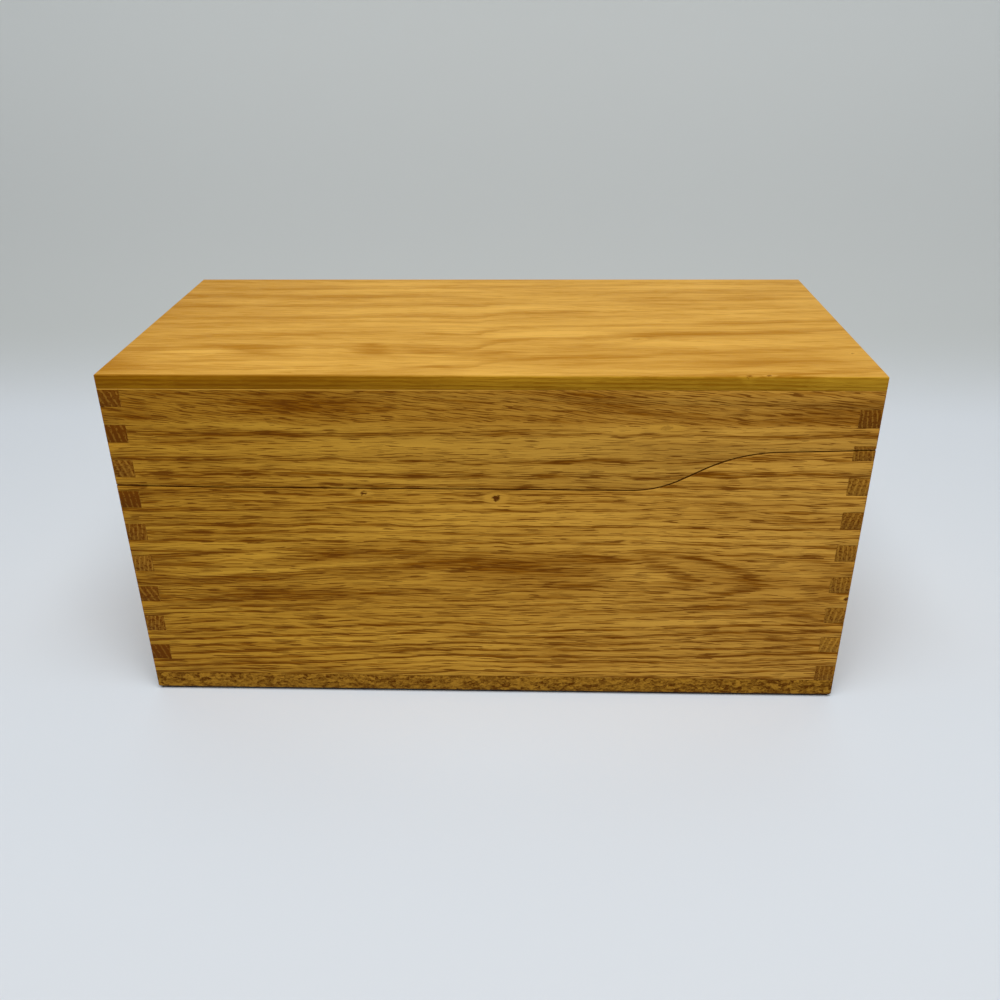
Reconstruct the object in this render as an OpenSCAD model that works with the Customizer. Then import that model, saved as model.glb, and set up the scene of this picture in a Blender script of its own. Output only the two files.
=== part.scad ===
// Wooden card box: finger-jointed oak walls under a flat top board, on a particle board base
// with felt beneath. The closed box is sawn apart along a wavy line, so that lid and body share
// their grain, and two brass butt hinges join them at the back.
// The origin is the centre of the underside. X runs along the width, the front faces -Y and
// Z is up. Left and right are as seen from the front. Sizes are in millimetres.

/* [Box] */
// Outer width
box_w = 317.5; // [300:0.5:340]
// Outer depth
box_d = 148.2; // [140:0.2:160]
// Thickness of the wall boards
wall_t = 9.1; // [8.6:0.1:10]
// Thickness of the lid's top board
top_t = 6; // [4:0.5:8]
// Thickness of the particle board base
base_t = 8.7; // [6:0.1:12]
// Thickness of the felt glued beneath the base
felt_t = 1; // [0.8:0.1:2]
// How far the felt's edge stays inside the base's edge
felt_inset = 1.2; // [0.5:0.1:3]
// Radius to which the outer arrises are sanded
ease_r = 0.8; // [0.4:0.1:1.5]
// Radius to which the base's lower arrises are sanded
base_ease_r = 1.5; // [0.8:0.1:3]

/* [Finger joints] */
// Fingers up each corner, counting those of both boards
finger_count = 18; // [18:2:20]
// Height of one finger
finger_h = 8; // [7.8:0.1:8.4]

/* [Saw line] */
// Height of the closed lid line's low stretch above the table
line_low = 107.5; // [104:0.5:111]
// Height that the line gains again towards the left end
left_rise = 1; // [0:0.1:1.5]
// Where the left rise begins, measured from the box's middle
left_bend = -60; // [-80:1:-40]
// Where the wave begins to rise, measured from the box's middle
wave_start = 60; // [50:1:70]
// Steepest slope of the wave, in degrees
wave_slope = 28; // [20:1:32]
// Radius of the wave's lower bend
wave_lower_r = 43.5; // [30:0.5:50]
// Radius of the wave's upper bend
wave_upper_r = 67.5; // [50:0.5:75]
// Length of the straight between the two bends
wave_straight = 10.5; // [0:0.5:14]
// Slope of the high stretch, in degrees
high_slope = 1.7; // [0:0.1:3]
// Wood lost to the saw and to sanding the rims
saw_kerf = 1.9; // [1.4:0.05:2.4]
// Gap between the rims of the closed box
rim_gap = 0.5; // [0.3:0.05:0.8]

/* [Hinges] */
// Length of a hinge
hinge_len = 38; // [34:1:44]
// Thickness of a leaf
leaf_t = 1.6; // [1.3:0.1:1.8]
// Width of a leaf, from the pin's centre to its inner edge
leaf_w = 10.4; // [10:0.1:11]
// Number of knuckles, those of both leaves together
knuckle_count = 5; // [3:2:7]
// Outer radius of the knuckles
knuckle_r = 2; // [1.9:0.05:2.1]
// Radius of the pin
pin_r = 0.9; // [0.7:0.05:1]
// Distance of the pin's centre behind the box's back face
pin_back = 2.4; // [2.3:0.1:2.8]
// Place of the left hinge's middle, measured from the box's middle
left_hinge_x = -95; // [-110:1:-80]
// Place of the right hinge's middle, measured from the box's middle
right_hinge_x = 20; // [0:1:35]

/* [Hinge screws] */
// Length of a screw
screw_len = 12; // [9:0.5:16]
// Radius of a screw's shank
screw_r = 1.2; // [1:0.1:1.4]
// Radius of a screw's countersunk head
head_r = 2.3; // [2:0.1:2.4]
// Distance between the two screws of a leaf
screw_spacing = 22; // [18:1:26]

/* [Hidden] */
$fn = 48;

oak = "#b5812e";
oak_top = "#d3a04a";
particle_board = "#9a7648";
felt = "#1d1411";
brass = "#c6a04c";
steel_pin = "#b9b2a0";

// The walls stand on the base, and their full height is that of all fingers before sawing.
wall_foot = felt_t + base_t;
wall_h = finger_count * finger_h;
uncut_top = wall_foot + wall_h + top_t;
// The closed lid sits lower than it did in the uncut box by what the saw took, less the gap.
settle = saw_kerf - rim_gap;
// The saw's own path lies half a kerf above the body's rim.
path_low = line_low + (saw_kerf - rim_gap) / 2;
overcut = 1;

body_leaf_side = -1;
lid_leaf_side = 1;
running_clearance = 0.05;
knuckle_gap = 0.3;
knuckle_pitch = hinge_len / knuckle_count;
knuckle_len = knuckle_pitch - knuckle_gap;
// The leaf's plate stops short of the other leaf's knuckles.
plate_edge = knuckle_r + 0.35;
screw_y = -(leaf_w + pin_back) / 2;
screw_tip = 2.5;
slot_w = 0.6;
slot_depth = 0.6;
pin_chamfer = 0.2;

// Points on an arc about c, n steps from angle a0 to angle a1.
function arc(c, r, a0, a1, n) =
    [for (i = [0:n]) let (a = a0 + (a1 - a0) * i / n) c + r * [cos(a), sin(a)]];

// The saw's path moved along its normal, from the left end to the right end, as [x, z] points:
// a slow parabola at the left, a level stretch, the wave's two bends and a nearly level end.
function saw_line(shift) =
    let (
        left_x = -box_w / 2 - overcut,
        lower_centre = [wave_start, path_low + wave_lower_r],
        lower_end = lower_centre + wave_lower_r * [sin(wave_slope), -cos(wave_slope)],
        upper_start = lower_end + wave_straight * [cos(wave_slope), sin(wave_slope)],
        upper_centre = upper_start + wave_upper_r * [sin(wave_slope), -cos(wave_slope)],
        upper_end = upper_centre + (wave_upper_r + shift) * [-sin(high_slope), cos(high_slope)],
        right_x = box_w / 2 + overcut,
        steps = 5
    )
    concat(
        [for (i = [steps:-1:0])
            [left_bend + (left_x - left_bend) * i / steps, path_low + shift + left_rise * pow(i / steps, 2)]],
        arc(lower_centre, wave_lower_r - shift, -90, wave_slope - 90, 14),
        arc(upper_centre, wave_upper_r + shift, wave_slope + 90, high_slope + 90, 14),
        [[right_x, upper_end.y + (right_x - upper_end.x) * tan(high_slope)]]
    );

// Stands a flat outline up, so that its x and y become the box's X and Z, and gives it a
// thickness towards the back from y.
module upright_along_x(y, thickness) {
    translate([0, y + thickness, 0])
        rotate([90, 0, 0])
            linear_extrude(thickness) children();
}

// Stands a flat outline up, so that its x and y become the box's Y and Z, and gives it a
// thickness towards the right from x.
module upright_along_y(x, thickness) {
    translate([x, 0, 0])
        rotate([90, 0, 90])
            linear_extrude(thickness) children();
}

module eased_rect(w, h) {
    square([w - 2 * ease_r, h], center = true);
    square([w, h - 2 * ease_r], center = true);
    for (x = [-1, 1], y = [-1, 1])
        translate([x * (w / 2 - ease_r), y * (h / 2 - ease_r)]) circle(ease_r);
}

// The whole uncut box as one block with its twelve arrises sanded round.
module eased_block() {
    h = uncut_top - felt_t;
    middle = felt_t + h / 2;
    intersection() {
        translate([0, 0, felt_t]) linear_extrude(h) eased_rect(box_w, box_d);
        upright_along_x(-box_d / 2, box_d) translate([0, middle]) eased_rect(box_w, h);
        upright_along_y(-box_w / 2, box_w) translate([0, middle]) eased_rect(box_d, h);
    }
}

// The base's outline from one side, with its two lower corners sanded rounder than the rest.
module base_outline(length) {
    translate([-length / 2, felt_t + base_ease_r]) square([length, base_t - base_ease_r]);
    translate([base_ease_r - length / 2, felt_t]) square([length - 2 * base_ease_r, base_ease_r]);
    for (side = [-1, 1])
        translate([side * (length / 2 - base_ease_r), felt_t + base_ease_r]) circle(base_ease_r);
}

// Outline of a wall board with fingers at both ends. Fingers are counted from the base, and a
// board has those whose number is even or odd, as left_odd and right_odd say.
module fingered_outline(length, left_odd, right_odd) {
    difference() {
        translate([-length / 2, wall_foot]) square([length, wall_h]);
        for (i = [0:finger_count - 1])
            translate([0, wall_foot + i * finger_h]) {
                if ((i % 2 == 1) != left_odd)
                    translate([-length / 2 - overcut, 0]) square([wall_t + overcut, finger_h]);
                if ((i % 2 == 1) != right_odd)
                    translate([length / 2 - wall_t, 0]) square([wall_t + overcut, finger_h]);
            }
    }
}

module uncut_front() {
    upright_along_x(-box_d / 2, wall_t) fingered_outline(box_w, false, true);
}

module uncut_back() {
    upright_along_x(box_d / 2 - wall_t, wall_t) fingered_outline(box_w, false, true);
}

module uncut_left_end() {
    upright_along_y(-box_w / 2, wall_t) fingered_outline(box_d, true, true);
}

module uncut_right_end() {
    upright_along_y(box_w / 2 - wall_t, wall_t) fingered_outline(box_d, false, false);
}

// What the saw leaves of a board below its path.
module body_part() {
    intersection() {
        children();
        eased_block();
        upright_along_x(-box_d / 2 - overcut, box_d + 2 * overcut)
            polygon(concat(
                [[-box_w / 2 - overcut, 0]],
                saw_line(-saw_kerf / 2),
                [[box_w / 2 + overcut, 0]]
            ));
    }
}

// What the saw leaves of a board above its path, lowered onto the body.
module lid_part() {
    translate([0, 0, -settle])
        intersection() {
            children();
            eased_block();
            upright_along_x(-box_d / 2 - overcut, box_d + 2 * overcut)
                polygon(concat(
                    [[-box_w / 2 - overcut, uncut_top + overcut]],
                    saw_line(saw_kerf / 2),
                    [[box_w / 2 + overcut, uncut_top + overcut]]
                ));
        }
}

// Everything of a hinge is drawn about its pin, whose middle is the origin here.
module at_hinge(x) {
    translate([x, box_d / 2 + pin_back, line_low]) children();
}

// The recess that a leaf lies in, open to the rim and to the back.
module leaf_recess(side) {
    face = rim_gap / 2 + leaf_t;
    low = side == body_leaf_side ? -face : -left_rise - overcut;
    high = side == body_leaf_side ? left_rise + overcut : face;
    translate([-hinge_len / 2, -leaf_w, low]) cube([hinge_len, leaf_w, high - low]);
}

// A countersunk wood screw with its head's face at z = 0, pointing down.
module screw_form() {
    rotate_extrude()
        polygon([
            [0, 0],
            [head_r, 0],
            [screw_r, screw_r - head_r],
            [screw_r, screw_tip - screw_len],
            [0, -screw_len]
        ]);
}

module slotted_screw() {
    difference() {
        screw_form();
        translate([-slot_w / 2, -head_r - overcut, -slot_depth])
            cube([slot_w, 2 * (head_r + overcut), slot_depth + overcut]);
    }
}

// Places its child at both screws of a leaf, pointing into that leaf's rim.
module at_screws(side) {
    for (x = [-1, 1])
        translate([x * screw_spacing / 2, screw_y, side * rim_gap / 2])
            mirror([0, 0, side == lid_leaf_side ? 1 : 0]) children();
}

// A leaf with its knuckles. The body's leaf has both end knuckles and every second one between
// them, in which the pin is tight, and the lid's leaf has the others, which turn on the pin.
module hinge_leaf(side) {
    first = side == body_leaf_side ? 0 : 1;
    bore_r = side == body_leaf_side ? pin_r : pin_r + running_clearance;
    low = side == body_leaf_side ? -rim_gap / 2 - leaf_t : rim_gap / 2;
    color(brass)
        difference() {
            union() {
                translate([-hinge_len / 2, -leaf_w, low])
                    cube([hinge_len, leaf_w - plate_edge, leaf_t]);
                for (i = [first:2:knuckle_count - 1])
                    translate([i * knuckle_pitch - hinge_len / 2 + knuckle_gap / 2, 0, 0]) {
                        rotate([0, 90, 0]) cylinder(r = knuckle_r, h = knuckle_len);
                        translate([0, -plate_edge, low]) cube([knuckle_len, plate_edge, leaf_t]);
                    }
            }
            translate([-hinge_len / 2 - overcut, 0, 0])
                rotate([0, 90, 0]) cylinder(r = bore_r, h = hinge_len + 2 * overcut);
            at_screws(side) screw_form();
        }
}

module hinge_pin() {
    color(steel_pin)
        rotate([0, 90, 0])
            rotate_extrude()
                polygon([
                    [0, -hinge_len / 2],
                    [pin_r - pin_chamfer, -hinge_len / 2],
                    [pin_r, -hinge_len / 2 + pin_chamfer],
                    [pin_r, hinge_len / 2 - pin_chamfer],
                    [pin_r - pin_chamfer, hinge_len / 2],
                    [0, hinge_len / 2]
                ]);
}

module base_panel() {
    color(particle_board)
        intersection() {
            eased_block();
            upright_along_x(-box_d / 2, box_d) base_outline(box_w);
            upright_along_y(-box_w / 2, box_w) base_outline(box_d);
        }
}

module base_felt() {
    color(felt)
        translate([felt_inset - box_w / 2, felt_inset - box_d / 2, 0])
            cube([box_w - 2 * felt_inset, box_d - 2 * felt_inset, felt_t]);
}

module body_front() {
    color(oak) body_part() uncut_front();
}

module body_back() {
    color(oak)
        difference() {
            body_part() uncut_back();
            for (x = [left_hinge_x, right_hinge_x])
                at_hinge(x) {
                    leaf_recess(body_leaf_side);
                    at_screws(body_leaf_side) screw_form();
                }
        }
}

module body_left_end() {
    color(oak) body_part() uncut_left_end();
}

module body_right_end() {
    color(oak) body_part() uncut_right_end();
}

module lid_top() {
    color(oak_top)
        lid_part()
            translate([-box_w / 2, -box_d / 2, wall_foot + wall_h]) cube([box_w, box_d, top_t]);
}

module lid_front() {
    color(oak) lid_part() uncut_front();
}

module lid_back() {
    color(oak)
        difference() {
            lid_part() uncut_back();
            for (x = [left_hinge_x, right_hinge_x])
                at_hinge(x) {
                    leaf_recess(lid_leaf_side);
                    at_screws(lid_leaf_side) screw_form();
                }
        }
}

module lid_left_end() {
    color(oak) lid_part() uncut_left_end();
}

module lid_right_end() {
    color(oak) lid_part() uncut_right_end();
}

module screw_pair(side) {
    color(brass) at_screws(side) slotted_screw();
}

base_panel();
base_felt();
body_front();
body_back();
body_left_end();
body_right_end();
lid_top();
lid_front();
lid_back();
lid_left_end();
lid_right_end();
at_hinge(left_hinge_x) hinge_leaf(body_leaf_side);  // left_hinge_body_leaf
at_hinge(left_hinge_x) hinge_leaf(lid_leaf_side);  // left_hinge_lid_leaf
at_hinge(left_hinge_x) hinge_pin();  // left_hinge_pin
at_hinge(right_hinge_x) hinge_leaf(body_leaf_side);  // right_hinge_body_leaf
at_hinge(right_hinge_x) hinge_leaf(lid_leaf_side);  // right_hinge_lid_leaf
at_hinge(right_hinge_x) hinge_pin();  // right_hinge_pin
at_hinge(left_hinge_x) screw_pair(body_leaf_side);  // left_hinge_body_screws
at_hinge(left_hinge_x) screw_pair(lid_leaf_side);  // left_hinge_lid_screws
at_hinge(right_hinge_x) screw_pair(body_leaf_side);  // right_hinge_body_screws
at_hinge(right_hinge_x) screw_pair(lid_leaf_side);  // right_hinge_lid_screws
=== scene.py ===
"""Dresses a finger-jointed oak card box: planks with their rings and pores, a particle board base
on felt, brass butt hinges, and the pale studio sweep that it stands on.

Lengths are in metres, except in the finishes, which count in millimetres.
"""

import math
from typing import NamedTuple

import bmesh
import bpy
import numpy as np
from bpy.props import FloatProperty, FloatVectorProperty, PointerProperty
from bpy.types import Operator, Panel, PropertyGroup
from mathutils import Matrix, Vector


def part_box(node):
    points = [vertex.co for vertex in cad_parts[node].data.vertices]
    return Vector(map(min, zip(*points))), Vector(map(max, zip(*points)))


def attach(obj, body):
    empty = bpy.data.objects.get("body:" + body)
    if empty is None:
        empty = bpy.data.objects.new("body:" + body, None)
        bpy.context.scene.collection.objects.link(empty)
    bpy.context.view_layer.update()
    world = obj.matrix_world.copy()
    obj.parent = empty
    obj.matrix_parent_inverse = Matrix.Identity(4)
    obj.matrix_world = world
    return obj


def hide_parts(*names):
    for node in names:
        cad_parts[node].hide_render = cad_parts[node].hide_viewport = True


bl_info = {
    "name": "Oak card box",
    "version": (1, 0, 0),
    "blender": (4, 5, 0),
    "location": "View3D > Sidebar > Card Box",
    "description": "Dresses a finger-jointed oak card box with its wood, felt and hinges",
    "category": "Object",
}

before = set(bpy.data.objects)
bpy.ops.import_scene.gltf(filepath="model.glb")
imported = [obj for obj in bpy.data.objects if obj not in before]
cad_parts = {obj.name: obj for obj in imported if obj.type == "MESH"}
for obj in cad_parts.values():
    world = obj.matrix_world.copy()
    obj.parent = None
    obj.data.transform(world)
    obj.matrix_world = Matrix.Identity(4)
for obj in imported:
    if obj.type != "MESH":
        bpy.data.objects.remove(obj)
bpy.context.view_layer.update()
MM = 0.001


def colour_property(name, description, default):
    """A colour setting, in the linear values that the shaders use."""
    return FloatVectorProperty(
        name=name, description=description, default=default, size=3, subtype="COLOR", min=0.0, max=1.0
    )


def length_property(name, description, default):
    """A length setting in metres."""
    return FloatProperty(
        name=name, description=description, default=default, min=0.0, unit="LENGTH", precision=5
    )


class CardBoxColours(PropertyGroup):
    """Colours of the box's materials and of the stage."""

    wall_light: colour_property("Wall late wood", "Smooth wood of the walls", (0.71, 0.370, 0.046))
    wall_dark: colour_property("Wall early wood", "Ring bands of the walls", (0.285, 0.098, 0.0015))
    wall_pore: colour_property("Wall pores", "Open pores of the walls", (0.16, 0.045, 0.0010))
    top_light: colour_property("Top late wood", "Smooth wood of the top board", (0.770, 0.424, 0.072))
    top_dark: colour_property("Top early wood", "Ring bands of the top board", (0.455, 0.198, 0.011))
    top_pore: colour_property("Top pores", "Open pores of the top board", (0.42, 0.172, 0.009))
    edge_left: colour_property("Top edge, left", "Tint of the top's edges at the left", (0.60, 0.49, 0.055))
    edge_right: colour_property("Top edge, right", "The same at the right end", (0.79, 0.77, 0.26))
    chip_light: colour_property("Pale chips", "Pale chips of the particle board", (0.45, 0.218, 0.021))
    chip_dark: colour_property("Dark chips", "Dark chips of the particle board", (0.112, 0.032, 0.001))
    felt: colour_property("Felt", "Felt beneath the base", (0.012, 0.009, 0.008))
    brass: colour_property("Brass", "Hinge leaves and screws", (0.80, 0.50, 0.13))
    steel: colour_property("Steel", "Hinge pins", (0.55, 0.53, 0.50))
    floor: colour_property("Floor", "The level part of the studio sweep", (0.745, 0.785, 0.835))
    # Painted light: the floor just before the box is painted brighter and bluer, a painted pool of light
    # that also cancels the wood's warm reflection on it.
    floor_painted_light_pool: colour_property("Floor in front", "Bluer, against the wood's glow", (0.775, 0.85, 0.93))
    # Painted shade: the upright part is the same paper as the floor, painted darker.
    backdrop: colour_property("Backdrop", "The upright part of the studio sweep", (0.58, 0.607, 0.604))
    surroundings: colour_property("Surroundings", "What shows beyond the sweep", (0.43, 0.447, 0.452))
    sky: colour_property("Sky light", "Faint light from all sides", (0.116, 0.118, 0.120))


class CardBoxSizes(PropertyGroup):
    """Sizes that a user would change."""

    board_ease: length_property("Board arris", "Radius of each plank's own arrises", 0.00022)
    metal_ease: length_property("Metal arris", "Radius of the hinges' arrises", 0.00012)
    sweep_bend_from: length_property("Sweep's bend", "Where the sweep begins to rise", 0.27)
    fade_from: length_property("Fade from", "Where the sweep begins to fade to the surroundings", 0.9)
    fade_to: length_property("Fade to", "Where it has faded", 1.9)
    camera_x: length_property("Camera to the side", "Camera's place along the width", 0.0174)
    camera_ahead: length_property("Camera ahead", "Camera's distance before the box's middle", 0.43966)
    camera_up: length_property("Camera height", "Camera's height above the floor", 0.29245)


class Finish:
    """The nodes of a material or world being made. Each call adds one node and returns the socket
    that leaves it."""

    def __init__(self, owner):
        owner.use_nodes = True
        self.owner = owner
        self.tree = owner.node_tree
        self.tree.nodes.clear()

    def add(self, kind, inputs, **settings):
        """Adds a node. The inputs are sockets or plain values by the input's name or number."""
        node = self.tree.nodes.new(kind)
        for key, value in settings.items():
            setattr(node, key, value)
        for key, value in inputs.items():
            if isinstance(value, bpy.types.NodeSocket):
                self.tree.links.new(value, node.inputs[key])
            else:
                node.inputs[key].default_value = value
        return node

    def math(self, operation, *values, clamp=False):
        node = self.add("ShaderNodeMath", dict(enumerate(values)), operation=operation, use_clamp=clamp)
        return node.outputs[0]

    def vector(self, operation, first, second):
        node = self.add("ShaderNodeVectorMath", {0: first, 1: second}, operation=operation)
        return node.outputs["Value" if operation == "DOT_PRODUCT" else "Vector"]

    def square(self, value):
        return self.math("MULTIPLY", value, value)

    def coordinate(self, which):
        return self.add("ShaderNodeTexCoord", {}).outputs[which]

    def split(self, vector):
        return self.add("ShaderNodeSeparateXYZ", {0: vector}).outputs

    def join(self, x, y, z):
        return self.add("ShaderNodeCombineXYZ", {0: x, 1: y, 2: z}).outputs[0]

    def noise(self, vector, sizes, detail=2.0, roughness=0.5):
        """Smooth noise from 0 to 1 whose features are about as large as the three sizes."""
        scaled = self.vector("DIVIDE", vector, sizes)
        node = self.add(
            "ShaderNodeTexNoise", {"Vector": scaled, "Scale": 1.0, "Detail": detail, "Roughness": roughness}
        )
        return node.outputs[0]

    def swing(self, vector, sizes, amount, detail=2.0, roughness=0.5):
        """Noise that swings about 0 by up to the amount."""
        noise = self.noise(vector, sizes, detail, roughness)
        return self.math("MULTIPLY", self.math("SUBTRACT", noise, 0.5), 2 * amount)

    def chance(self, value):
        """A random number from 0 to 1 for each value."""
        return self.add("ShaderNodeTexWhiteNoise", {"W": value}, noise_dimensions="1D").outputs["Value"]

    def ease(self, value, low, high, new_low=0.0, new_high=1.0):
        """A smooth step from new_low to new_high while the value goes from low to high."""
        inputs = {0: value, 1: low, 2: high, 3: new_low, 4: new_high}
        return self.add("ShaderNodeMapRange", inputs, interpolation_type="SMOOTHSTEP").outputs[0]

    def blend(self, share, first, second):
        """Goes from the first colour to the second as the share goes from 0 to 1."""
        inputs = {0: share, 6: opaque(first), 7: opaque(second)}
        return self.add("ShaderNodeMix", inputs, data_type="RGBA").outputs[2]

    def tint(self, share, colour, tint):
        """Multiplies the colour by the tint, as much as the share says."""
        inputs = {0: share, 6: colour, 7: opaque(tint)}
        return self.add("ShaderNodeMix", inputs, data_type="RGBA", blend_type="MULTIPLY").outputs[2]

    def pick(self, share, first, second):
        """Goes from the first number to the second as the share goes from 0 to 1."""
        return self.add("ShaderNodeMix", {0: share, 2: first, 3: second}, data_type="FLOAT").outputs[0]

    def blob(self, position, centre, reach, tilt):
        """A soft spot: 1 at its centre, falling evenly to 0 at the ellipsoid that reach and tilt give."""
        inputs = {0: position, 1: centre, 2: (0.0, 0.0, math.radians(tilt)), 3: reach}
        mapped = self.add("ShaderNodeMapping", inputs, vector_type="TEXTURE").outputs[0]
        return self.add("ShaderNodeTexGradient", {0: mapped}, gradient_type="SPHERICAL").outputs[1]

    def bump(self, height, distance, strength):
        inputs = {"Height": height, "Distance": distance, "Strength": strength}
        return self.add("ShaderNodeBump", inputs).outputs[0]

    def finish(self, **inputs):
        """Adds the surface shader and the output, and returns the material."""
        named = {key.replace("_", " "): value for key, value in inputs.items()}
        surface = self.add("ShaderNodeBsdfPrincipled", named)
        output = self.add("ShaderNodeOutputMaterial", {})
        self.tree.links.new(surface.outputs[0], output.inputs[0])
        return self.owner

    def seen(self):
        """1 for the rays that show the background itself: those of the camera, gloss and glass."""
        rays = self.add("ShaderNodeLightPath", {}).outputs
        direct = self.math("MAXIMUM", rays["Is Camera Ray"], rays["Is Glossy Ray"])
        return self.math("MAXIMUM", direct, rays["Is Transmission Ray"])


def opaque(colour):
    """A colour setting with its alpha added. A socket passes through."""
    if isinstance(colour, bpy.types.NodeSocket):
        return colour
    return (*colour, 1.0)


class Patch(NamedTuple):
    """A darker or paler place in a plank's figure. Millimetres and degrees in the plank's plane."""

    along: float
    across: float
    length: float
    width: float
    tilt: float
    tone: float


class Knot(NamedTuple):
    """A pin knot, which the fibres go round. Millimetres in the plank's plane."""

    along: float
    across: float
    length: float
    width: float
    dark: float = 1.0


class Plank(NamedTuple):
    """How a plank was sawn: which way its length, width and outer face lie, and its figure.

    The seed and wander set its noise and how far its fibres stray. Above slant_from the fibres
    slope. Strong scales its streaks and pores, broad its patches, and fine is its least share of
    threads. The painted warm reflection is painted light: it takes blue out towards the left end,
    a painted warm glow there, and adds blue towards the right. Onset is the share of a ring in which
    the early wood appears. The finger tones give the darkness of its end grain by finger.
    """

    node: str
    along: int
    across: int
    through: int
    face: float
    figure: object
    seed: float
    wander: float
    patches: tuple = ()
    knots: tuple = ()
    calm: tuple = ()
    glue_line: float = 0.0
    slant_from: float = 0.0
    strong: float = 1.0
    broad: float = 1.0
    fine: float = 0.15
    painted_warm_reflection: float = 0.0
    onset: float = 0.16
    finger_tones: tuple = ()

    @property
    def upright(self):
        """A wall's plank, and not the top board."""
        return self.across == 2


# The uncut front board's growth rings, as heights above the table in millimetres.
FRONT_RINGS = (
    2, 5, 8, 11.5, 14.4, 17.4, 20.4, 24.0, 27.4, 31.0, 34.4, 38.6, 43.2, 48.2, 51.0, 54.6,
    76.0, 80.5, 85.0, 89.0, 92.5, 96.5, 100.6, 104.0, 108.2, 113.6, 120.4, 132.6, 139.0, 143.5,
    147.0, 151.0, 155.0, 160.0,
)
GLUE_LINE = 76.0
STAVE_SHIFT = 61.0
# Painted highlight: above this height the lid's walls are painted in their light colour, along the arris
# under the top board.
PAINTED_HIGHLIGHT_SEAM = 153.25
FINGER_FROM = 9.7
FINGER = 8.0
SLANT_FROM = 138.5
SLANT = 6.0
EYE_ALONG = -15.0
EYE_HEIGHT = 62.0
EYE_TAPER = 0.10
EYE_LEFT_TAPER = 0.035
EYE_LEFT_SLOPE = 0.055
EYE_UPPER = 0.63
FRONT_EARLY_WIDTH = 4.5

BODY_PATCHES = (
    Patch(-175, 75, 150, 150, 0, 0.39),
    Patch(-140, 56, 46, 7.5, 3, -0.8),
    Patch(-20, 66.0, 300, 17, 0, 0.36),
    Patch(190, 62, 80, 40, 0, 0.31),
    Patch(145, 45, 26, 6, 0, 0.4),
    Patch(40, 92, 95, 20, 0, -0.3),
    Patch(-110, 98, 70, 12, 0, 0.12),
    Patch(70, 80, 60, 3.2, 0, -0.4),
    Patch(-86, 108.7, 18, 2.6, 0, 0.39),
    Patch(-52, 101.8, 16, 2.0, 4, 0.27),
    Patch(115, 101.0, 28, 2.2, 0, 0.31),
    Patch(140, 61.0, 22, 11.0, 0, -0.05),
    Patch(64, 69.5, 6, 6.0, -20, -0.7),
    Patch(103, 96.2, 24, 1.8, 2, 0.39),
    Patch(-90, 87.5, 15, 2.0, 3, 0.31),
    Patch(3.0, 101.2, 11, 0.9, 0, -0.78),
    Patch(-105, 73.0, 29, 4.6, 2, -1.01),
    Patch(-115, 74.0, 2.4, 0.7, 0, 0.94),
    Patch(-70, 74.8, 14, 2.2, -8, 0.62),
    Patch(-98, 67.4, 52, 1.9, 4.0, -1.17),
    Patch(-60, 70.6, 24, 1.6, 3, -0.55),
    Patch(-113, 62.4, 38, 2.8, 5, 0.55),
    Patch(-100, 56.0, 30, 4.6, 3, 0.43),
    Patch(-55, 64.0, 24, 3.0, 2, 0.39),
    Patch(-22, 66.5, 30, 1.7, 16, -0.55),
    Patch(-30, 61.5, 22, 1.4, 14, -0.39),
    Patch(-10, 72.4, 13, 3.0, 12, 0.55),
    Patch(-30, 70.6, 16, 2.4, 4, 0.39),
    Patch(-36, 74.6, 16, 2.2, 0, 0.39),
    Patch(5, 69.5, 62, 8.5, 2, 0.85),
    Patch(31, 55.4, 22, 4.2, 4, 0.39),
    Patch(73, 64.6, 14, 2.8, 0, -0.62),
    Patch(68, 73.6, 7, 3.2, 0, 0.47),
    Patch(76, 69.8, 10, 2.6, -28, 0.27),
    Patch(98, 72.2, 13, 2.2, -22, 0.31),
    Patch(111, 66.6, 9, 2.6, -35, 0.31),
    Patch(99, 49.2, 15, 3.2, 2, 0.7),
    Patch(135, 47.4, 17, 1.9, 4, 0.39),
    Patch(75, 40.4, 64, 1.5, 1.5, -0.62),
    Patch(10, 33.9, 44, 1.0, 1, -0.7),
    Patch(110, 32.0, 24, 0.9, -6, -0.62),
    Patch(145, 33.2, 16, 0.9, 6, -0.62),
    Patch(-64, 30.6, 16, 1.0, 0, -0.55),
    Patch(-142, 27.2, 20, 1.3, 1, -0.62),
    Patch(-21, 31.7, 16, 1.0, 2, -0.47),
)
LID_PATCHES = (
    Patch(152, 144, 44, 12, 0, 0.5),
    Patch(-20, 127, 170, 13, 0, -0.2),
    Patch(-150, 124, 40, 12, 0, 0.25),
    Patch(-150, 149, 30, 5, 0, 0.3),
    Patch(-60, 146, 150, 26, 0, 0.2),
    Patch(-73, 146.0, 32, 8.5, -5, 0.45),
    Patch(-125, 147.5, 34, 8.0, -4, -0.39),
    Patch(-145, 140.6, 18, 3.0, 0, 0.39),
    Patch(-108, 138.2, 48, 3.4, -1, -0.62),
    Patch(-128, 130.2, 28, 2.2, 8, 0.62),
    Patch(-88, 133.4, 32, 2.6, 0, 0.62),
    Patch(62, 145.4, 36, 3.2, -6, 0.47),
    Patch(112, 141.4, 54, 3.2, -1, 0.55),
    Patch(84, 137.6, 10, 3.0, 0, 0.39),
    Patch(125, 136.2, 38, 3.4, 2, -0.39),
    Patch(40, 121.6, 32, 2.2, 1, 0.39),
    Patch(118, 121.8, 24, 2.2, 3, 0.31),
    Patch(-45, 122.2, 38, 1.8, 0, 0.31),
)
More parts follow.
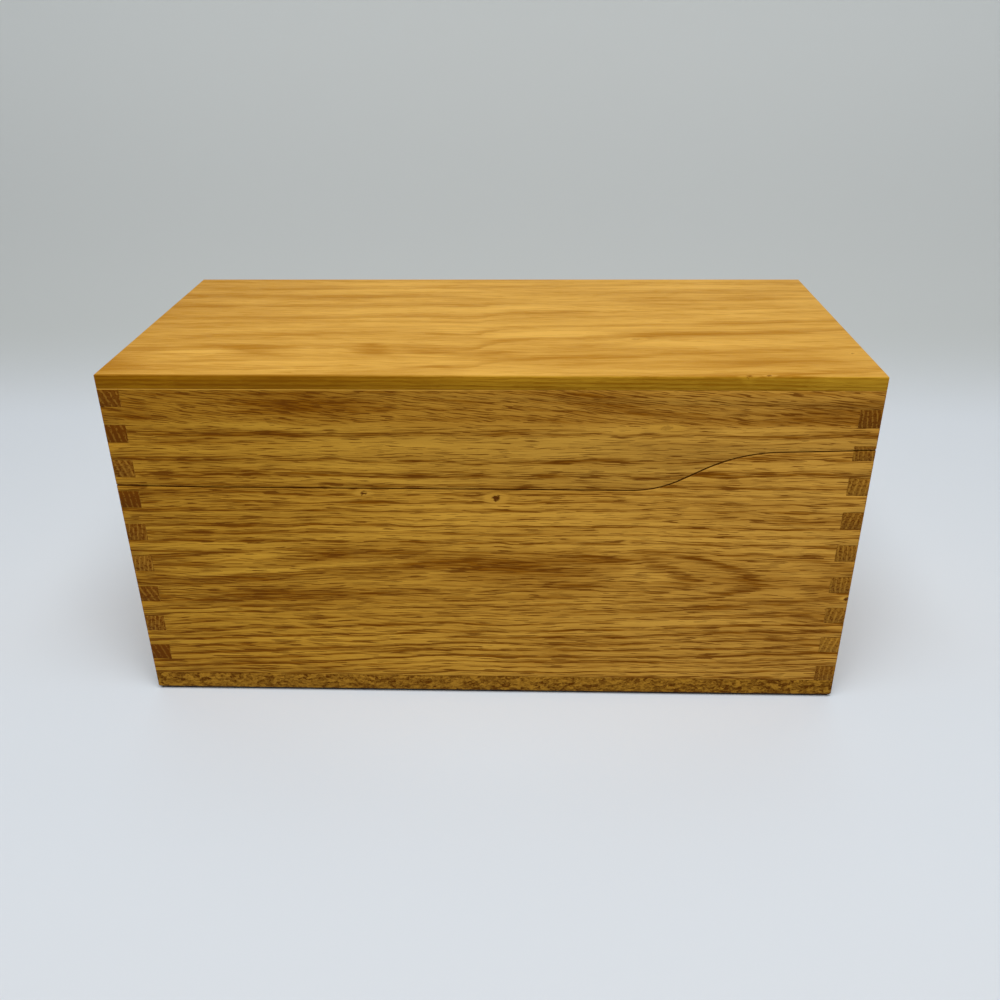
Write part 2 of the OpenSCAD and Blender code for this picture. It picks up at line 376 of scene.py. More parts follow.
# Where the early wood shows less, as much as the tone says.
EYE_CALM = (Patch(-20, 63, 200, 22, 0, 0.9),)
TOP_CALM = (Patch(0, 74, 400, 150, 0, 0.7),)
FRONT_KNOTS = (
    Knot(3.2, 103.6, 6.6, 2.8),
    Knot(73.0, 138.0, 10.0, 2.6, 0.35),
    Knot(-53.0, 106.0, 5.4, 2.2),
    Knot(157.6, 54.4, 3.6, 2.2),
)
TOP_PATCHES = (
    Patch(-180, 30, 130, 140, 0, 0.5),
    Patch(-90, -76, 120, 5, 0, 0.6),
    Patch(-50, -43.4, 13, 7.0, -14, 1.1),
    Patch(-52, -37.0, 9, 2.6, -6, 0.5),
    Patch(-26, -45.0, 22, 3.8, -7, 1.1),
    Patch(2, -45.5, 18, 5.0, 4, 1.1),
    Patch(-126, -46.0, 24, 4.6, -2, -1.0),
    Patch(-112, -38.5, 34, 4.6, -9, 0.7),
    Patch(-98, -48.5, 22, 7.0, -22, 0.45),
    Patch(-122, -57.0, 30, 3.0, 3, 0.6),
    Patch(-160, -60.0, 22, 20.0, 0, 0.9),
    Patch(-22, -64.0, 20, 3.4, 12, 0.7),
    Patch(42, -36.0, 26, 3.2, 6, 0.6),
    Patch(95, -53.0, 86, 24.0, 0, 0.5),
    Patch(32, -52.0, 70, 17.0, 5, 0.22),
    Patch(112, -21.0, 60, 9.0, 8, 0.6),
    Patch(26, -23.0, 36, 8.0, 8, -0.8),
    Patch(116, -57.0, 40, 7.0, 0, 0.4),
    Patch(66, -27.0, 9, 7.0, 40, 0.7),
    Patch(86, -21.5, 24, 6.5, 4, 0.5),
    Patch(28, 12.6, 30, 4.8, 2, 0.8),
    Patch(-60, 40.0, 60, 6.5, 6, 0.45),
    Patch(-92, 56.0, 42, 4.0, 0, 0.4),
    Patch(130, 40.0, 34, 9.0, 12, 0.35),
)
TOP_KNOTS = (
    Knot(63.7, -28.4, 7.0, 3.6, 0.3),
    Knot(152.5, -45.4, 2.4, 1.6),
    Knot(104.0, -73.0, 6.0, 1.0),
    Knot(112.0, -72.6, 4.0, 1.2),
)


def front_figure(finish, along, across, line):
    """Heights of the rings on the front board, which is glued up from two staves.

    Above the glue line a ring lies at its own height. Below it a ring's height is that of the
    eye's axis less the distance from the eye's middle, where a length along the board counts
    only a little. The axis slopes down to the left, and the eye is drawn out upwards.
    """
    beside = finish.math("SUBTRACT", along, EYE_ALONG)
    left = finish.math("MINIMUM", beside, 0.0)
    right = finish.math("MAXIMUM", beside, 0.0)
    rise = finish.math("SUBTRACT", line, EYE_HEIGHT)
    rise = finish.math("MULTIPLY_ADD", left, -EYE_LEFT_SLOPE, rise)
    above = finish.math("GREATER_THAN", rise, 0.0)
    rise = finish.pick(above, rise, finish.math("MULTIPLY", rise, EYE_UPPER))
    reach = finish.math("MULTIPLY_ADD", left, EYE_LEFT_TAPER, finish.math("MULTIPLY", right, EYE_TAPER))
    far = finish.math("SQRT", finish.math("ADD", finish.square(rise), finish.square(reach)))
    eye = finish.math("SUBTRACT", EYE_HEIGHT, far)
    upper_stave = finish.math("GREATER_THAN", across, GLUE_LINE)
    height = finish.pick(upper_stave, eye, line)
    return ring_number(finish, height, FRONT_RINGS, FRONT_EARLY_WIDTH)


# The top board's rings at its left end, and how far each place along it has them moved back, as
# distances behind the box's middle in millimetres. The move grows towards the front.
TOP_RINGS = (-100, -70, -46, -27.5, -7.0, 0.5, 19.2, 35.0, 52.0, 66.0, 90)
TOP_EARLY_WIDTH = 9.0
TOP_MOVES = (
    (-159, 0), (-126, 0.8), (-96, 1.8), (-72, 3.6), (-50, 4.8), (-30, 4.4), (-14, 1.2), (-2, 7.4),
    (12, 13.6), (31, 16.4), (54, 17.4), (79, 20.6), (116, 24.0), (159, 30.0),
)
TOP_MOVED_TO = -30.0
TOP_STILL_FROM = 60.0
TOP_BACK_SHARE = 0.35


def top_figure(finish, along, across, line):
    """Rings of the top board: level at the left, with a step and a slope that fade to the back."""
    move = broken_line(finish, along, TOP_MOVES, "AUTO")
    share = finish.ease(across, TOP_MOVED_TO, TOP_STILL_FROM, 1.0, TOP_BACK_SHARE)
    height = finish.math("SUBTRACT", line, finish.math("MULTIPLY", move, share))
    return ring_number(finish, height, TOP_RINGS, TOP_EARLY_WIDTH)


# A plain board's rings: where the arch's middle lies, how little a length along the board counts,
# how deep the tree's heart lay below the face, and the width of a ring.
ARCH_ALONG = 20.0
ARCH_HEIGHT = 70.0
ARCH_TAPER = 0.14
HEART_BELOW = 38.0
RING_WIDTH = 1.9


def plain_figure(finish, along, across, line):
    """Rings of a board sawn beside the heart: arched where it was nearest, close at its edges."""
    reach = finish.math("MULTIPLY", finish.math("SUBTRACT", along, ARCH_ALONG), ARCH_TAPER)
    rise = finish.math("SUBTRACT", line, ARCH_HEIGHT)
    far = finish.math("ADD", finish.square(rise), finish.square(reach))
    radius = finish.math("SQRT", finish.math("ADD", far, HEART_BELOW ** 2))
    return finish.math("DIVIDE", radius, RING_WIDTH)


def broken_line(finish, value, points, handle="VECTOR"):
    """The height of a line through the points at a value. AUTO handles make it smooth."""
    (low, first), (high, last) = points[0], points[-1]
    share = finish.math("DIVIDE", finish.math("SUBTRACT", value, low), high - low)
    node = finish.add("ShaderNodeFloatCurve", {1: share})
    curve = node.mapping.curves[0]
    for number, (x, y) in enumerate(points):
        place = ((x - low) / (high - low), (y - first) / (last - first))
        if number in (0, len(points) - 1):
            point = curve.points[0 if number == 0 else -1]
            point.location = place
        else:
            point = curve.points.new(*place)
        point.handle_type = handle
    node.mapping.update()
    return finish.math("MULTIPLY_ADD", node.outputs[0], float(last - first), float(first))


EARLY_PART = 0.6


def ring_number(finish, height, rings, early_width):
    """The number of the ring at a height, plus the share of it that lies below that height.

    A ring's early wood takes the first part of its number, EARLY_PART, and in a wide ring that
    part is no wider than early_width.
    """
    points = []
    for number, (ring, following) in enumerate(zip(rings, rings[1:])):
        points.append((ring, number))
        if following - ring > 2 * early_width:
            points.append((ring + early_width, number + EARLY_PART))
    points.append((rings[-1], len(rings) - 1))
    return broken_line(finish, height, points)


# How dark the end grain of each finger is, counted from the base, as the front shows it.
LEFT_TONES = (
    (-1, 0.0), (1, 1.25), (3, 0.8), (5, 0.97), (7, 0.7), (9, 0.88), (11, 1.2), (13, 0.8),
    (15, 1.15), (17, 1.0), (18, 1.3),
)
RIGHT_TONES = (
    (-1, 0.0), (0, 0.77), (2, 0.36), (4, 0.57), (6, 0.6), (8, 0.62), (10, 0.75), (12, 0.52),
    (14, 0.75), (16, 1.0), (18, 1.3),
)

PLANKS = {
    "front": Plank(
        "body_front", 0, 2, 1, -1, front_figure, 0.0, 1.0,
        BODY_PATCHES + LID_PATCHES, FRONT_KNOTS, EYE_CALM, GLUE_LINE, SLANT_FROM, painted_warm_reflection=0.22,
    ),
    "back": Plank("body_back", 0, 2, 1, 1, plain_figure, 31.0, 1.4),
    "left_end": Plank("body_left_end", 1, 2, 0, -1, plain_figure, 57.0, 1.4, finger_tones=LEFT_TONES),
    "right_end": Plank("body_right_end", 1, 2, 0, 1, plain_figure, 83.0, 1.4, finger_tones=RIGHT_TONES),
    "top": Plank(
        "lid_top", 0, 1, 2, 1, top_figure, 109.0, 1.6,
        TOP_PATCHES, TOP_KNOTS, TOP_CALM, strong=0.42, broad=1.4, fine=0.17, onset=0.14,
    ),
}


# How far the shade goes from the light colour (0) to the dark one (1) for each part of the figure.
PLAIN_SHADE = 0.25
EARLY_SHADE = 0.52
TONE_SHADE = 0.56
STREAK_SHADE = 0.52
THREAD_SHADE = 0.48
GLUE_SHADE = 0.35

# Pores are open where their noise is above the level, less the crowding of what lies there.
PORE_LEVEL = 0.61
EARLY_CROWD = 0.13
TONE_CROWD = 0.08
STREAK_CROWD = 0.08
PORE_COVER = 0.85

# The end grain's shade, from between the wood's two colours (0) to the pores' colour (1).
END_COLOUR = 0.4
END_SHADE = 0.14
FINGER_SHADE = 0.75
PALE_RING_SHADE = -0.34
DOT_SHADE = 0.38
TOP_FATE = 0.4

# How deep knots, their dark hearts and patches reach into a board, and a ring's width in depth.
KNOT_DEPTH = 6.0
HEART_DEPTH = 2.0
PATCH_DEPTH = 14.0
RING_DEPTH = 1.8

# Sawn rims are tinted darker. This is partly the rough saw cut's own colour and partly painted shade that
# deepens the dark line of the lid's gap.
SAWN_RIM_AND_GAP_SHADE_TINT = (0.62, 0.56, 0.45)


def oak_finish(name, plank, lift, light, dark, pore, edge=None):
    """Oak with rings, pores, patches and end grain.

    Each point's place is measured along, across and through its plank, in the uncut box. Slow
    noise bends the fibres. A ring has open pores where it begins and smooth wood behind them.
    """
    finish = Finish(bpy.data.materials.new(name))
    place = finish.vector("MULTIPLY", finish.coordinate("Object"), (1 / MM, 1 / MM, 1 / MM))
    place = finish.vector("ADD", place, (0.0, 0.0, lift / MM))
    sockets = finish.split(place)
    along, across, through = sockets[plank.along], sockets[plank.across], sockets[plank.through]
    depth = finish.math("MULTIPLY", finish.math("SUBTRACT", outer_face(plank), through), plank.face)
    seeded = finish.vector("ADD", finish.join(along, across, depth), (plank.seed, plank.seed, plank.seed))
    slow = finish.swing(seeded, (95.0, 26.0, 40.0), 2.6 * plank.wander, 1.0)
    quick = finish.swing(seeded, (24.0, 5.0, 12.0), 0.9 * plank.wander, 2.0)
    line = finish.math("ADD", across, finish.math("ADD", slow, quick))
    fray = finish.swing(seeded, (1.3, 0.6, 0.6), 1.3, 1.0)
    line, core, halo = round_knots(finish, plank.knots, along, line, depth, fray)
    stave = plank.seed
    if plank.glue_line:
        stave = finish.math("MULTIPLY", finish.math("LESS_THAN", across, plank.glue_line), STAVE_SHIFT)
    board = finish.join(along, line, depth)
    rough = finish.vector("ADD", board, finish.join(stave, stave, stave))

    ring = finish.math("DIVIDE", depth, RING_DEPTH)
    ring = finish.math("ADD", plank.figure(finish, along, across, line), ring)
    early = early_wood(finish, plank, ring, board, rough)
    tone = finish.swing(rough, (80.0, 11.0, 12.0), 0.6, 1.0)
    ragged = finish.vector("ADD", board, finish.join(finish.swing(rough, (9.0, 0.8, 0.8), 9.0), quick, 0.0))
    for patch in plank.patches:
        tone = finish.math("MULTIPLY_ADD", inside(finish, ragged, patch), patch.tone, tone)
    streaks, threads, grain = fibres(finish, rough, 1.0)
    if plank.slant_from:
        turned = finish.add("ShaderNodeMapping", {0: rough, 2: (0.0, 0.0, math.radians(SLANT))}).outputs[0]
        slanted = finish.ease(line, plank.slant_from - 1.5, plank.slant_from + 1.5)
        pairs = zip((streaks, threads, grain), fibres(finish, turned, 0.85))
        streaks, threads, grain = (finish.pick(slanted, level, tilted) for level, tilted in pairs)
        streaks = finish.math("MULTIPLY", streaks, finish.math("MULTIPLY_ADD", slanted, -0.45, 1.0))
        tone = finish.math("MULTIPLY_ADD", slanted, 0.35, tone)
        early = finish.math("MULTIPLY", early, finish.math("MULTIPLY_ADD", slanted, -0.7, 1.0))

    shade = finish.math("MULTIPLY_ADD", early, EARLY_SHADE, PLAIN_SHADE)
    shade = finish.math("MULTIPLY_ADD", tone, TONE_SHADE * plank.broad, shade)
    if plank.glue_line:
        seam = finish.math("COMPARE", across, plank.glue_line, 0.2)
        shown = finish.ease(finish.noise(board, (60.0, 400.0, 400.0), 1.0), 0.4, 0.6)
        shade = finish.math("MULTIPLY_ADD", finish.math("MULTIPLY", seam, shown), GLUE_SHADE, shade)
    shade = finish.math("MULTIPLY_ADD", streaks, STREAK_SHADE * plank.strong, shade)
    share = finish.math("MULTIPLY_ADD", early, THREAD_SHADE * plank.strong, plank.fine)
    shade = finish.math("MULTIPLY_ADD", threads, share, shade, clamp=True)

    crowd = finish.math("MULTIPLY_ADD", tone, TONE_CROWD, finish.math("MULTIPLY", early, EARLY_CROWD))
    crowd = finish.math("MULTIPLY_ADD", streaks, STREAK_CROWD, crowd)
    level = finish.math("SUBTRACT", PORE_LEVEL, crowd)
    open_pore = finish.ease(finish.math("SUBTRACT", grain, level), -0.01, 0.02)

    colour = finish.blend(shade, light, dark)
    # Painted reflection: a warm glow on the left of the front, painted as less blue there and more blue
    # towards the right.
    if plank.painted_warm_reflection:
        yellower, redder = (1.0, 1.0, 1 - plank.painted_warm_reflection), (1.0, 1.0, 1 + plank.painted_warm_reflection)
        colour = finish.tint(1.0, colour, finish.blend(finish.ease(along, -150.0, 150.0), yellower, redder))
    colour = finish.blend(finish.math("MULTIPLY", open_pore, PORE_COVER * plank.strong), colour, pore)

    normals = finish.split(finish.coordinate("Normal"))
    cut_end = finish.ease(finish.math("ABSOLUTE", normals[plank.along]), 0.55, 0.85)
    ends = end_grain(finish, plank, across, depth, rough, light, dark, pore)
    colour = finish.blend(cut_end, colour, ends)
    if plank.knots:
        colour = finish.blend(finish.math("MULTIPLY", halo, 0.45), colour, light)
        colour = finish.blend(core, colour, tuple(0.75 * value for value in pore))
    # Painted highlight: a pale line along the lid walls' top arris under the top board, strongest at the
    # left and fading to the right.
    if lift:
        seam = finish.math("GREATER_THAN", across, PAINTED_HIGHLIGHT_SEAM)
        shown = finish.math("MULTIPLY", seam, finish.ease(along, -40.0, 40.0, 0.8, 0.15))
        colour = finish.blend(shown, colour, light)
    if edge:
        aside = finish.ease(finish.math("ABSOLUTE", normals[plank.across]), 0.4, 0.9)
        colour = finish.tint(aside, colour, finish.blend(finish.ease(along, -140.0, 140.0), *edge))
    # Painted shade, partly real: the walls' sawn rims, which lie in the lid's gap when the box is shut, are
    # tinted darker.
    if plank.upright:
        sawn_rim_and_gap_shade = finish.ease(finish.math("ABSOLUTE", normals[2]), 0.6, 0.9)
        colour = finish.tint(sawn_rim_and_gap_shade, colour, SAWN_RIM_AND_GAP_SHADE_TINT)

    height = finish.math("SUBTRACT", finish.math("MULTIPLY", threads, 0.4), open_pore)
    return finish.finish(
        Base_Color=colour,
        Roughness=finish.math("MULTIPLY_ADD", open_pore, 0.2, 0.46),
        Normal=finish.bump(height, 0.12 * MM, 0.45),
        Specular_IOR_Level=0.04,
    )


def round_knots(finish, knots, along, line, depth, fray):
    """Bends the line of the fibres round each knot. Gives also how far a point is in a knot's
    frayed dark core and in the paler wood about it."""
    core = halo = 0.0
    for knot in knots:
        centre = (knot.along, knot.across, 0.0)
        here = finish.join(along, line, depth)
        frayed = finish.vector("ADD", here, finish.join(fray, fray, 0.0))
        spread = finish.blob(here, centre, (knot.length, knot.width, KNOT_DEPTH), 0.0)
        heart = finish.blob(frayed, centre, (knot.length / 3, knot.width / 2, HEART_DEPTH), 0.0)
        core = finish.math("MAXIMUM", core, finish.ease(heart, 0.0, 0.5, 0.0, knot.dark))
        halo = finish.math("MAXIMUM", halo, finish.ease(spread, 0.0, 0.4))
        offset = finish.math("SUBTRACT", line, knot.across)
        line = finish.math("SUBTRACT", line, finish.math("MULTIPLY", offset, spread))
    return line, core, halo


def inside(finish, place, patch):
    """How far inside a patch a place is: 1 at its centre and 0 at its edge."""
    reach = (patch.length, patch.width, PATCH_DEPTH)
    return finish.blob(place, (patch.along, patch.across, 0.0), reach, patch.tilt)


def early_wood(finish, plank, ring, board, rough):
    """How much of a point is early wood, which sets in where a ring begins and fades behind it.

    Noise frays the rings, each has a strength of its own, and the calm patches weaken it.
    """
    ring = finish.math("ADD", ring, finish.swing(rough, (18.0, 2.2, 6.0), 0.16))
    ring = finish.math("ADD", ring, finish.swing(rough, (24.0, 0.5, 0.5), 0.15, 1.0))
    phase = finish.math("FRACT", ring)
    strength = finish.math("MULTIPLY_ADD", finish.chance(finish.math("FLOOR", ring)), 0.55, 0.45)
    onset = finish.ease(phase, 0.0, plank.onset)
    early = finish.math("MULTIPLY", onset, finish.ease(phase, plank.onset, 0.70, 1.0, 0.0))
    early = finish.math("MULTIPLY", early, strength)
    for patch in plank.calm:
        kept = finish.math("MULTIPLY_ADD", inside(finish, board, patch), -patch.tone, 1.0)
        early = finish.math("MULTIPLY", early, kept)
    return early


def end_grain(finish, plank, across, depth, rough, light, dark, pore):
    """The colour of sawn ends. A wall's fingers each have their own darkness, ring width and ring
    slope, and fine dots break the rings up."""
    finger = finish.math("DIVIDE", finish.math("SUBTRACT", across, FINGER_FROM), FINGER)
    finger = finish.math("FLOOR", finger)
    fate = finish.chance(finish.math("ADD", finger, plank.seed)) if plank.upright else TOP_FATE
    darkness = broken_line(finish, finger, plank.finger_tones) if plank.finger_tones else fate
    pitch = finish.math("MULTIPLY_ADD", fate, 1.1, 1.8)
    sawn = finish.math("ADD", depth, finish.swing(rough, (9.0, 4.0, 4.0), 0.7))
    sawn = finish.math("MULTIPLY_ADD", across, finish.math("MULTIPLY_ADD", fate, 0.7, -0.2), sawn)
    pale_ring = finish.ease(finish.math("PINGPONG", finish.math("DIVIDE", sawn, pitch), 0.5), 0.22, 0.46)
    dots = finish.ease(finish.noise(rough, (1.5, 0.9, 0.9), 1.0), 0.50, 0.62)
    shade = finish.math("MULTIPLY_ADD", darkness, FINGER_SHADE, END_SHADE)
    shade = finish.math("MULTIPLY_ADD", pale_ring, PALE_RING_SHADE, shade)
    shade = finish.math("MULTIPLY_ADD", dots, DOT_SHADE, shade, clamp=True)
    return finish.blend(shade, finish.blend(END_COLOUR, light, dark), pore)


def fibres(finish, place, length):
    """Pale and dark streaks, finer threads, and the noise whose peaks are the open pores."""
    streaks = finish.swing(place, (90.0 * length, 2.3, 2.3), 1.0, 3.0, 0.5)
    threads = finish.ease(finish.noise(place, (20.0 * length, 0.7, 0.7), 1.0), 0.48, 0.57, -0.3, 0.7)
    grain = finish.noise(place, (12.0 * length, 0.42, 0.42), 1.0)
    return streaks, threads, grain


def outer_face(plank):
    """Where a plank's outer face lies along the axis through it, in millimetres."""
    low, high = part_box(plank.node)
    return (high if plank.face > 0 else low)[plank.through] / MM


def particle_finish(colours):
    """Pressed wood chips: stretched cells of two sizes, each of its own shade, roughened by fine grit."""
    finish = Finish(bpy.data.materials.new("particle_board_chips"))
    place = finish.vector("MULTIPLY", finish.coordinate("Object"), (1 / MM, 1 / MM, 1 / MM))
    wobble = finish.swing(place, (2.0, 2.0, 2.0), 0.8)
    bent = finish.vector("ADD", place, finish.join(wobble, wobble, wobble))
    shares = []
    for reach in ((3.4, 3.4, 1.3), (1.4, 1.4, 0.8)):
        scaled = finish.vector("DIVIDE", bent, reach)
        cells = finish.add("ShaderNodeTexVoronoi", {"Vector": scaled, "Scale": 1.0})
        shares.append(finish.split(cells.outputs["Color"])[0])
    share = finish.math("MULTIPLY_ADD", shares[0], 0.55, finish.math("MULTIPLY", shares[1], 0.45))
    grit = finish.swing(place, (0.6, 0.6, 0.4), 0.3, 2.0)
    share = finish.ease(finish.math("ADD", share, grit), 0.05, 0.95)
    return finish.finish(
        Base_Color=finish.blend(share, colours.chip_dark, colours.chip_light),
        Roughness=0.85,
        Specular_IOR_Level=0.04,
        Normal=finish.bump(share, 0.4 * MM, 0.6),
    )


def felt_finish(colours):
    """Pressed fibres: fine tangled noise in colour and relief under a soft sheen."""
    finish = Finish(bpy.data.materials.new("felt_fibres"))
    place = finish.vector("MULTIPLY", finish.coordinate("Object"), (1 / MM, 1 / MM, 1 / MM))
    fibres = finish.noise(place, (0.5, 0.35, 0.3), 4.0, 0.7)
    paler = tuple(3 * value for value in colours.felt)
    return finish.finish(
        Base_Color=finish.blend(fibres, colours.felt, paler),
        Roughness=0.95,
        Sheen_Weight=0.3,
        Normal=finish.bump(fibres, 0.2 * MM, 0.7),
    )


def metal_finish(name, colour, roughness, tarnish):
    """Rolled metal: brushed along X, with darker, rougher clouds of tarnish."""
    finish = Finish(bpy.data.materials.new(name))
    place = finish.vector("MULTIPLY", finish.coordinate("Object"), (1 / MM, 1 / MM, 1 / MM))
    clouds = finish.ease(finish.noise(place, (6.0, 3.0, 3.0), 4.0, 0.6), 0.4, 0.75)
    brushed = finish.swing(place, (9.0, 0.12, 0.12), 1.0, 2.0)
    darker = tuple(value * (1 - tarnish) for value in colour)
    return finish.finish(
        Base_Color=finish.blend(clouds, colour, darker),
        Metallic=1.0,
        Roughness=finish.math("MULTIPLY_ADD", clouds, 0.15, roughness),
        Normal=finish.bump(brushed, 0.02 * MM, 0.3),
    )


def studio_finish(colours, sizes):
    """Matt white sweep with a faint unevenness. Before the box it is painted brighter and bluer, a
    painted pool of light that also cancels the wood's warm reflection. Where it rises it is painted
    darker, as painted shade, and paler again higher up, as painted light.
    Far from the box it goes over to the plain grey that surrounds the studio."""
    finish = Finish(bpy.data.materials.new("studio_sweep"))
    place = finish.coordinate("Object")
    cloud = finish.noise(place, (0.5, 0.5, 0.5), 1.0)
    dimmer = tuple(0.985 * value for value in colours.floor)
    sockets = finish.split(place)
    risen = finish.ease(sockets[1], sizes.sweep_bend_from - 0.02, sizes.sweep_bend_from + 0.14)
    # Painted light: the upright backdrop is painted paler higher up, over its own painted shade.
    upper_backdrop_painted_paler = tuple(1.25 * value for value in colours.backdrop)
    upright = finish.blend(finish.ease(sockets[2], 0.08, 0.36), colours.backdrop, upper_backdrop_painted_paler)
    level = finish.blend(cloud, colours.floor, dimmer)
    # Painted light: a brighter, bluer pool on the floor before the box.
    before = finish.blob(place, (0.0, -0.12, 0.0), (0.30, 0.15, 1.0), 0.0)
    level = finish.blend(before, level, colours.floor_painted_light_pool)
    colour = finish.blend(risen, level, upright)
    ahead = finish.math("MULTIPLY", sockets[1], -1.0)
    away = finish.math("MAXIMUM", finish.math("ABSOLUTE", sockets[0]), ahead)
    far = finish.ease(away, sizes.fade_from, sizes.fade_to)
    return finish.finish(
        Base_Color=finish.blend(far, colour, (0.0, 0.0, 0.0)),
        Roughness=0.9,
        Specular_IOR_Level=0.1,
        Emission_Color=opaque(colours.surroundings),
        Emission_Strength=finish.math("MULTIPLY", far, finish.seen()),
    )


def dressed_copy(node, name, body, material, ease, angle=40.0):
    """A merged copy of a node's mesh with its arrises rounded, which stands for the node."""
    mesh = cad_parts[node].data.copy()
    mesh.name = name
    work = bmesh.new()
    work.from_mesh(mesh)
    bmesh.ops.remove_doubles(work, verts=work.verts, dist=1e-6)
    bmesh.ops.dissolve_limit(work, angle_limit=0.01, verts=work.verts, edges=work.edges)
    for face in work.faces:
        face.smooth = True
    work.to_mesh(mesh)
    work.free()
    mesh.materials.clear()
    mesh.materials.append(material)
    piece = bpy.data.objects.new(name, mesh)
    bpy.context.scene.collection.objects.link(piece)
    bevel = piece.modifiers.new("arrises", "BEVEL")
    bevel.width = ease
    bevel.segments = 2
    bevel.limit_method = "ANGLE"
    bevel.angle_limit = math.radians(angle)
    bevel.use_clamp_overlap = True
    bevel.harden_normals = True
    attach(piece, body)
    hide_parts(node)
    return piece


def settings():
    scene = bpy.context.scene
    return scene.card_box_colours, scene.card_box_sizes


# How far the lid came down when the box was sawn apart: the saw's kerf less the gap.
LID_SETTLED = 1.4 * MM


class CARDBOX_OT_walls(Operator):
    """Make the oak walls of the body and of the lid"""

    bl_idname = "card_box.walls"
    bl_label = "Walls"

    def execute(self, context):
        colours, sizes = settings()
        shades = (colours.wall_light, colours.wall_dark, colours.wall_pore)
        for body, lift in (("body", 0.0), ("lid", LID_SETTLED)):
            for side in ("front", "back", "left_end", "right_end"):
                node = f"{body}_{side}"
                material = oak_finish(f"oak_{node}", PLANKS[side], lift, *shades)
                dressed_copy(node, f"{node}_board", body, material, sizes.board_ease)
        return {"FINISHED"}


class CARDBOX_OT_top(Operator):
    """Make the lid's top board"""

    bl_idname = "card_box.top"
    bl_label = "Top board"

    def execute(self, context):
        colours, sizes = settings()
        material = oak_finish(
            "oak_lid_top", PLANKS["top"], 0.0,
            colours.top_light, colours.top_dark, colours.top_pore,
            (tuple(colours.edge_left), tuple(colours.edge_right)),
        )
        dressed_copy("lid_top", "lid_top_board", "lid", material, sizes.board_ease)
        return {"FINISHED"}


class CARDBOX_OT_base(Operator):
    """Make the particle board base and the felt beneath it"""

    bl_idname = "card_box.base"
    bl_label = "Base and felt"

    def execute(self, context):
        colours, sizes = settings()
        dressed_copy(
            "base_panel", "base_board", "body", particle_finish(colours), sizes.board_ease
        )
        felt = dressed_copy("base_felt", "felt_pad", "body", felt_finish(colours), sizes.board_ease)
        return {"FINISHED"}


class CARDBOX_OT_hinges(Operator):
    """Make the two brass butt hinges with their pins and screws"""

    bl_idname = "card_box.hinges"
    bl_label = "Hinges"

    def execute(self, context):
        colours, sizes = settings()
        brass = metal_finish("hinge_brass", colours.brass, 0.3, 0.35)
        steel = metal_finish("hinge_steel", colours.steel, 0.25, 0.2)
        for side in ("left", "right"):
            for body in ("body", "lid"):
                for part in ("leaf", "screws"):
                    node = f"{side}_hinge_{body}_{part}"
                    dressed_copy(node, f"{node}_brass", body, brass, sizes.metal_ease)
            node = f"{side}_hinge_pin"
            dressed_copy(node, f"{node}_steel", "body", steel, sizes.metal_ease)
        return {"FINISHED"}


# The stage: the sweep and the lamp in metres and watts, the lens in millimetres, the camera's turn
# in degrees.
SWEEP_WIDTH = 6.0
SWEEP_FRONT = -2.0
SWEEP_HEIGHT = 2.4
SWEEP_BEND = 0.3
LAMP_PLACE = (0.05, -0.6, 1.6)
LAMP_AIM = (0.0, 0.0, 0.0)
LAMP_WIDTH = 1.4
LAMP_HEIGHT = 1.0
LAMP_POWER = 24.5
SENSOR_WIDTH = 36.0
FOCAL_LENGTH = 35.0
CAMERA_TURN = (62.577, 0.451, 1.719)


def sweep_mesh(width, front, back, height, bend):
    """Seamless backdrop: a flat run, a quarter turn of the bend's radius and an upright run,
    carried sideways. The profile's points are the run's ends and the turn's arc."""
    turn = np.linspace(0.0, math.pi / 2, 25)
    y = np.concatenate(([front], back + bend * np.sin(turn), [back + bend]))
    z = np.concatenate(([0.0], bend * (1 - np.cos(turn)), [height]))
    x = np.linspace(-width / 2, width / 2, 9)
    points = np.stack(
        [np.repeat(x[:, None], len(y), 1), np.repeat(y[None], len(x), 0), np.repeat(z[None], len(x), 0)], -1
    )
    rows, columns = points.shape[:2]
    number = np.arange(rows * columns).reshape(rows, columns)
    quads = np.stack([number[:-1, :-1], number[1:, :-1], number[1:, 1:], number[:-1, 1:]], -1)
    mesh = bpy.data.meshes.new("studio_sweep")
    mesh.from_pydata(points.reshape(-1, 3), [], quads.reshape(-1, 4).tolist())
    mesh.polygons.foreach_set("use_smooth", np.ones(len(mesh.polygons), bool))
    return mesh


def add_lamp(name, place, aim, width, height, power):
    """A soft box: a rectangular lamp at a place, facing the aim."""
    lamp = bpy.data.lights.new(name, "AREA")
    lamp.shape = "RECTANGLE"
    lamp.size = width
    lamp.size_y = height
    lamp.energy = power
    holder = bpy.data.objects.new(name, lamp)
    bpy.context.scene.collection.objects.link(holder)
    holder.location = place
    direction = np.array(aim) - np.array(place)
    distance = np.linalg.norm(direction)
    holder.rotation_euler = (
        math.acos(-direction[2] / distance), 0.0, math.atan2(direction[0], -direction[1]) + math.pi
    )
    return holder


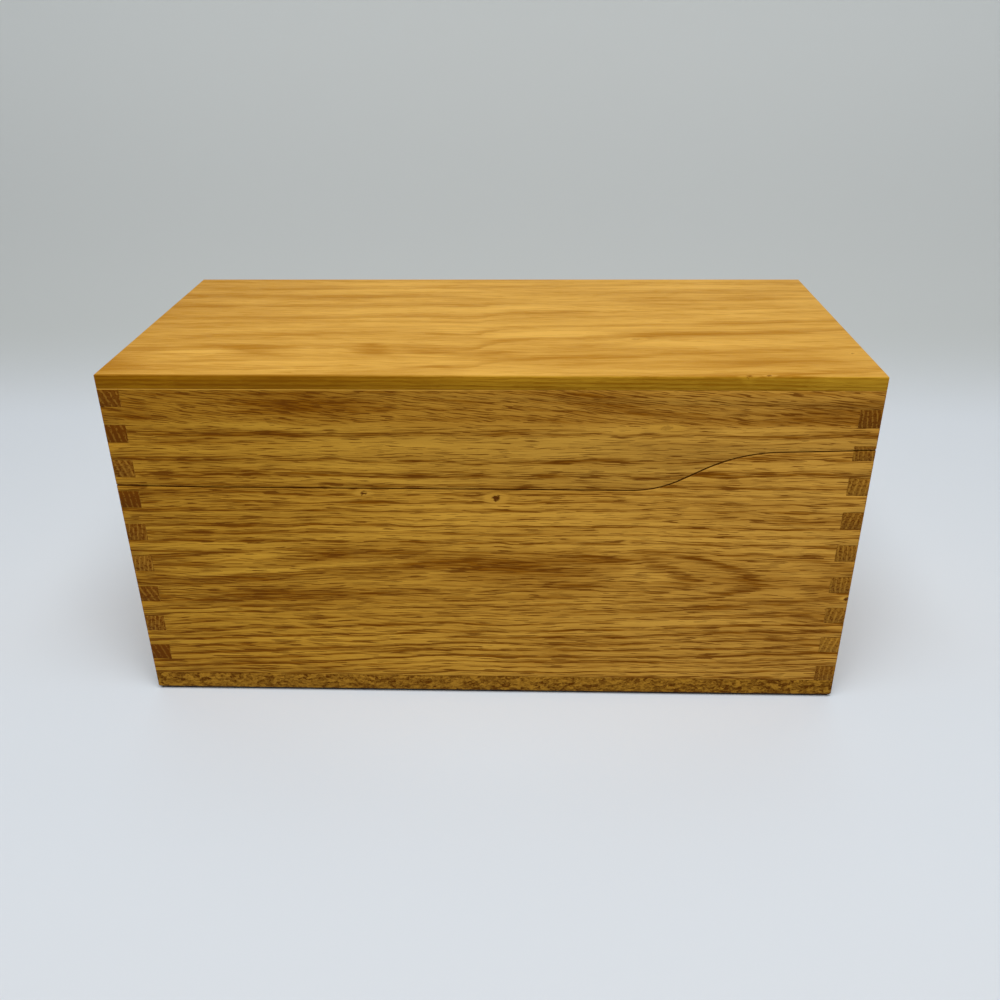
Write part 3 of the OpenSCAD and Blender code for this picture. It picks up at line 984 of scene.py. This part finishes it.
class CARDBOX_OT_stage(Operator):
    """Make the studio sweep, the lamp, the world and the camera"""

    bl_idname = "card_box.stage"
    bl_label = "Stage"

    def execute(self, context):
        colours, sizes = settings()
        scene = bpy.context.scene
        sweep = sweep_mesh(SWEEP_WIDTH, SWEEP_FRONT, sizes.sweep_bend_from, SWEEP_HEIGHT, SWEEP_BEND)
        floor = bpy.data.objects.new("studio_floor", sweep)
        floor.data.materials.append(studio_finish(colours, sizes))
        scene.collection.objects.link(floor)
        add_lamp("overhead_softbox", LAMP_PLACE, LAMP_AIM, LAMP_WIDTH, LAMP_HEIGHT, LAMP_POWER)
        world = bpy.data.worlds.new("studio_world")
        sky = Finish(world)
        shown = sky.blend(sky.seen(), colours.sky, colours.surroundings)
        background = sky.add("ShaderNodeBackground", {0: shown}).outputs[0]
        sky.add("ShaderNodeOutputWorld", {0: background})
        scene.world = world
        lens = bpy.data.cameras.new("photo_camera")
        lens.sensor_width = SENSOR_WIDTH
        lens.lens = FOCAL_LENGTH
        camera = bpy.data.objects.new("photo_camera", lens)
        camera.location = (sizes.camera_x, -sizes.camera_ahead, sizes.camera_up)
        camera.rotation_euler = tuple(math.radians(angle) for angle in CAMERA_TURN)
        scene.collection.objects.link(camera)
        scene.camera = camera
        scene.view_settings.view_transform = "Standard"
        return {"FINISHED"}


class CARDBOX_PT_panel(Panel):
    """Lists the steps that dress the card box"""

    bl_label = "Card Box"
    bl_idname = "CARDBOX_PT_panel"
    bl_space_type = "VIEW_3D"
    bl_region_type = "UI"
    bl_category = "Card Box"

    def draw(self, context):
        for step in STEPS:
            self.layout.operator(step.bl_idname)


STEPS = (CARDBOX_OT_walls, CARDBOX_OT_top, CARDBOX_OT_base, CARDBOX_OT_hinges, CARDBOX_OT_stage)
CLASSES = (CardBoxColours, CardBoxSizes, *STEPS, CARDBOX_PT_panel)


def register():
    for item in CLASSES:
        bpy.utils.register_class(item)
    bpy.types.Scene.card_box_colours = PointerProperty(type=CardBoxColours)
    bpy.types.Scene.card_box_sizes = PointerProperty(type=CardBoxSizes)


def unregister():
    del bpy.types.Scene.card_box_sizes
    del bpy.types.Scene.card_box_colours
    for item in reversed(CLASSES):
        bpy.utils.unregister_class(item)


def main():
    register()
    bpy.ops.card_box.walls()
    bpy.ops.card_box.top()
    bpy.ops.card_box.base()
    bpy.ops.card_box.hinges()
    bpy.ops.card_box.stage()


if __name__ == "__main__":
    main()
